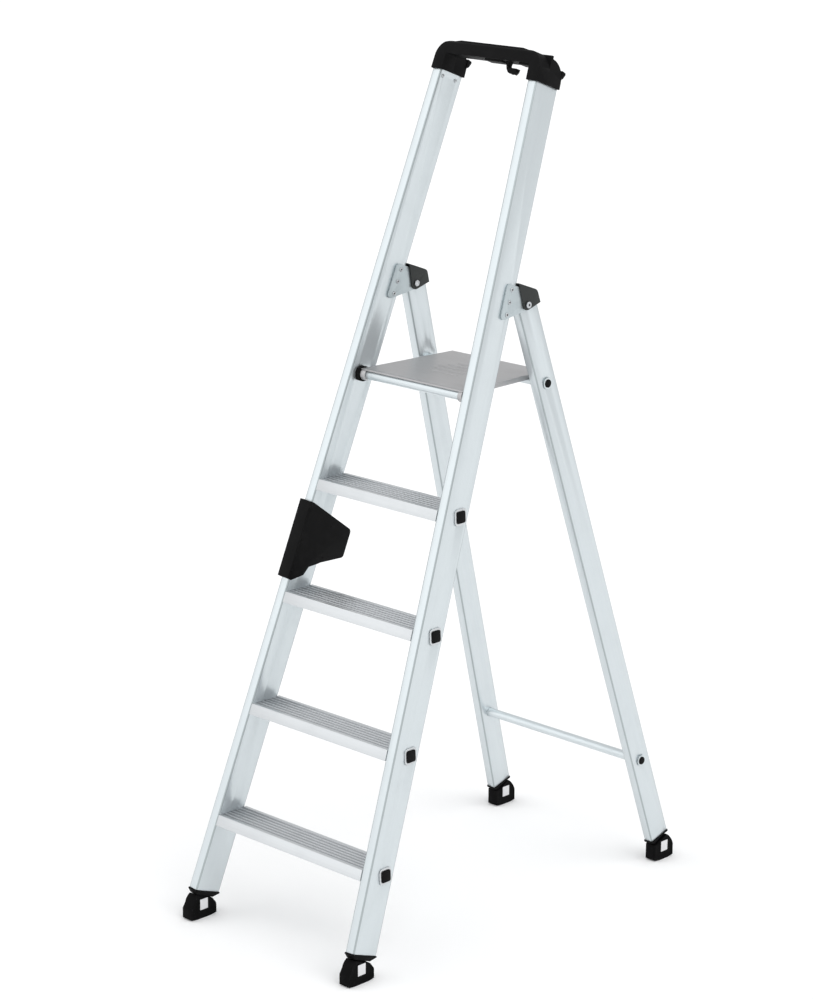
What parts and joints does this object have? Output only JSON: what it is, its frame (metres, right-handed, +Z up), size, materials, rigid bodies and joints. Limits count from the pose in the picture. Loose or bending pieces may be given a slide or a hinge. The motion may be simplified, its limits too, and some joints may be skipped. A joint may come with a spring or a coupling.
{
  "type": "platform step ladder",
  "caption": "Free-standing folding step ladder with ribbed treads, a tip-up platform, a guard rail with a plastic bow and a folding rear frame on pivot bolts.",
  "frame": {"origin": "on the floor in the middle of the four shoes' footprint", "axes": "+Z up, -Y is the climbing side, +X to the right of someone facing +Y"},
  "size_m": [0.5164, 1.03, 1.8435],
  "materials": {
    "anodised_aluminium": "satin anodised extrusion with fine lengthwise drawing lines",
    "tread_aluminium": "mill-finish ribbed extrusion",
    "platform_sheet": "brushed sheet with a pressed anti-slip relief",
    "zinc_plate": "satin zinc-plated stamped steel",
    "fastener_steel": "bright zinc-plated steel",
    "black_plastic": "fine-grained injection-moulded plastic",
    "grey_plastic": "fine-grained dark grey plastic",
    "shoe_rubber": "matt black rubber with a grooved sole",
    "light_plastic": "smooth light grey plastic"
  },
  "bodies": {
    "front_frame": {"bow_rivet_left_1": "fastener_steel", "bow_rivet_left_2": "fastener_steel", "bow_rivet_right_1": "fastener_steel", "bow_rivet_right_2": "fastener_steel", "foot_insert_front_left": "black_plastic", "foot_insert_front_right": "black_plastic", "grip_pad": "black_plastic", "hinge_plate_inner_left": "zinc_plate", "hinge_plate_inner_right": "zinc_plate", "hinge_plate_outer_left": "zinc_plate", "hinge_plate_outer_right": "zinc_plate", "hinge_rivet_left_1": "fastener_steel", "hinge_rivet_left_2": "fastener_steel", "hinge_rivet_left_3": "fastener_steel", "hinge_rivet_right_1": "fastener_steel", "hinge_rivet_right_2": "fastener_steel", "hinge_rivet_right_3": "fastener_steel", "platform_bush_left": "black_plastic", "platform_bush_right": "black_plastic", "step_1": "tread_aluminium", "step_1_plug_left": "black_plastic", "step_1_plug_right": "black_plastic", "step_2": "tread_aluminium", "step_2_plug_left": "black_plastic", "step_2_plug_right": "black_plastic", "step_3": "tread_aluminium", "step_3_plug_left": "black_plastic", "step_3_plug_right": "black_plastic", "step_4": "tread_aluminium", "step_4_plug_left": "black_plastic", "step_4_plug_right": "black_plastic", "stile_left": "anodised_aluminium", "stile_right": "anodised_aluminium", "top_bow": "black_plastic"},
    "rear_frame": {"foot_insert_rear_left": "black_plastic", "foot_insert_rear_right": "black_plastic", "hinge_cap_left": "grey_plastic", "hinge_cap_right": "grey_plastic", "lock_nut_left": "fastener_steel", "lock_nut_right": "fastener_steel", "lower_cross_bar": "anodised_aluminium", "lower_tube_plug_left": "black_plastic", "lower_tube_plug_right": "black_plastic", "pivot_bolt_left": "fastener_steel", "pivot_bolt_right": "fastener_steel", "rear_leg_left": "anodised_aluminium", "rear_leg_right": "anodised_aluminium", "upper_cross_tube": "anodised_aluminium", "upper_tube_plug_left": "black_plastic", "upper_tube_plug_right": "black_plastic"},
    "platform": {"platform": "platform_sheet", "platform_tube": "anodised_aluminium"},
    "shoe_front_left": {"shoe_front_left": "shoe_rubber", "sole_clip_front_left": "light_plastic"},
    "shoe_front_right": {"shoe_front_right": "shoe_rubber", "sole_clip_front_right": "light_plastic"},
    "shoe_rear_left": {"shoe_rear_left": "shoe_rubber", "sole_clip_rear_left": "light_plastic"},
    "shoe_rear_right": {"shoe_rear_right": "shoe_rubber", "sole_clip_rear_right": "light_plastic"}
  },
  "joints": [
    {"name": "rear_fold", "type": "hinge", "parent": "front_frame", "child": "rear_frame", "pos_m": [0, 0.07837, 1.32667], "axis": [-1, 0, 0], "range_deg": [0, 37]},
    {"name": "platform_fold", "type": "hinge", "parent": "front_frame", "child": "platform", "pos_m": [0, -0.07155, 1.1497], "axis": [1, 0, 0], "range_deg": [0, 69.6]},
    {"name": "shoe_tilt_front_left", "type": "hinge", "parent": "front_frame", "child": "shoe_front_left", "pos_m": [-0.24155, -0.47404, 0.036], "axis": [1, 0, 0], "range_deg": [-2.5, 2.5]},
    {"name": "shoe_tilt_front_right", "type": "hinge", "parent": "front_frame", "child": "shoe_front_right", "pos_m": [0.24155, -0.47404, 0.036], "axis": [1, 0, 0], "range_deg": [-2.5, 2.5]},
    {"name": "shoe_tilt_rear_left", "type": "hinge", "parent": "rear_frame", "child": "shoe_rear_left", "pos_m": [-0.24384, 0.47804, 0.036], "axis": [1, 0, 0], "range_deg": [-2.5, 2.5]},
    {"name": "shoe_tilt_rear_right", "type": "hinge", "parent": "rear_frame", "child": "shoe_rear_right", "pos_m": [0.24384, 0.47804, 0.036], "axis": [1, 0, 0], "range_deg": [-2.5, 2.5]}
  ],
  "couplings": [
    {"joint": "platform_fold", "follows": "rear_fold", "ratio": 1.88}
  ]
}
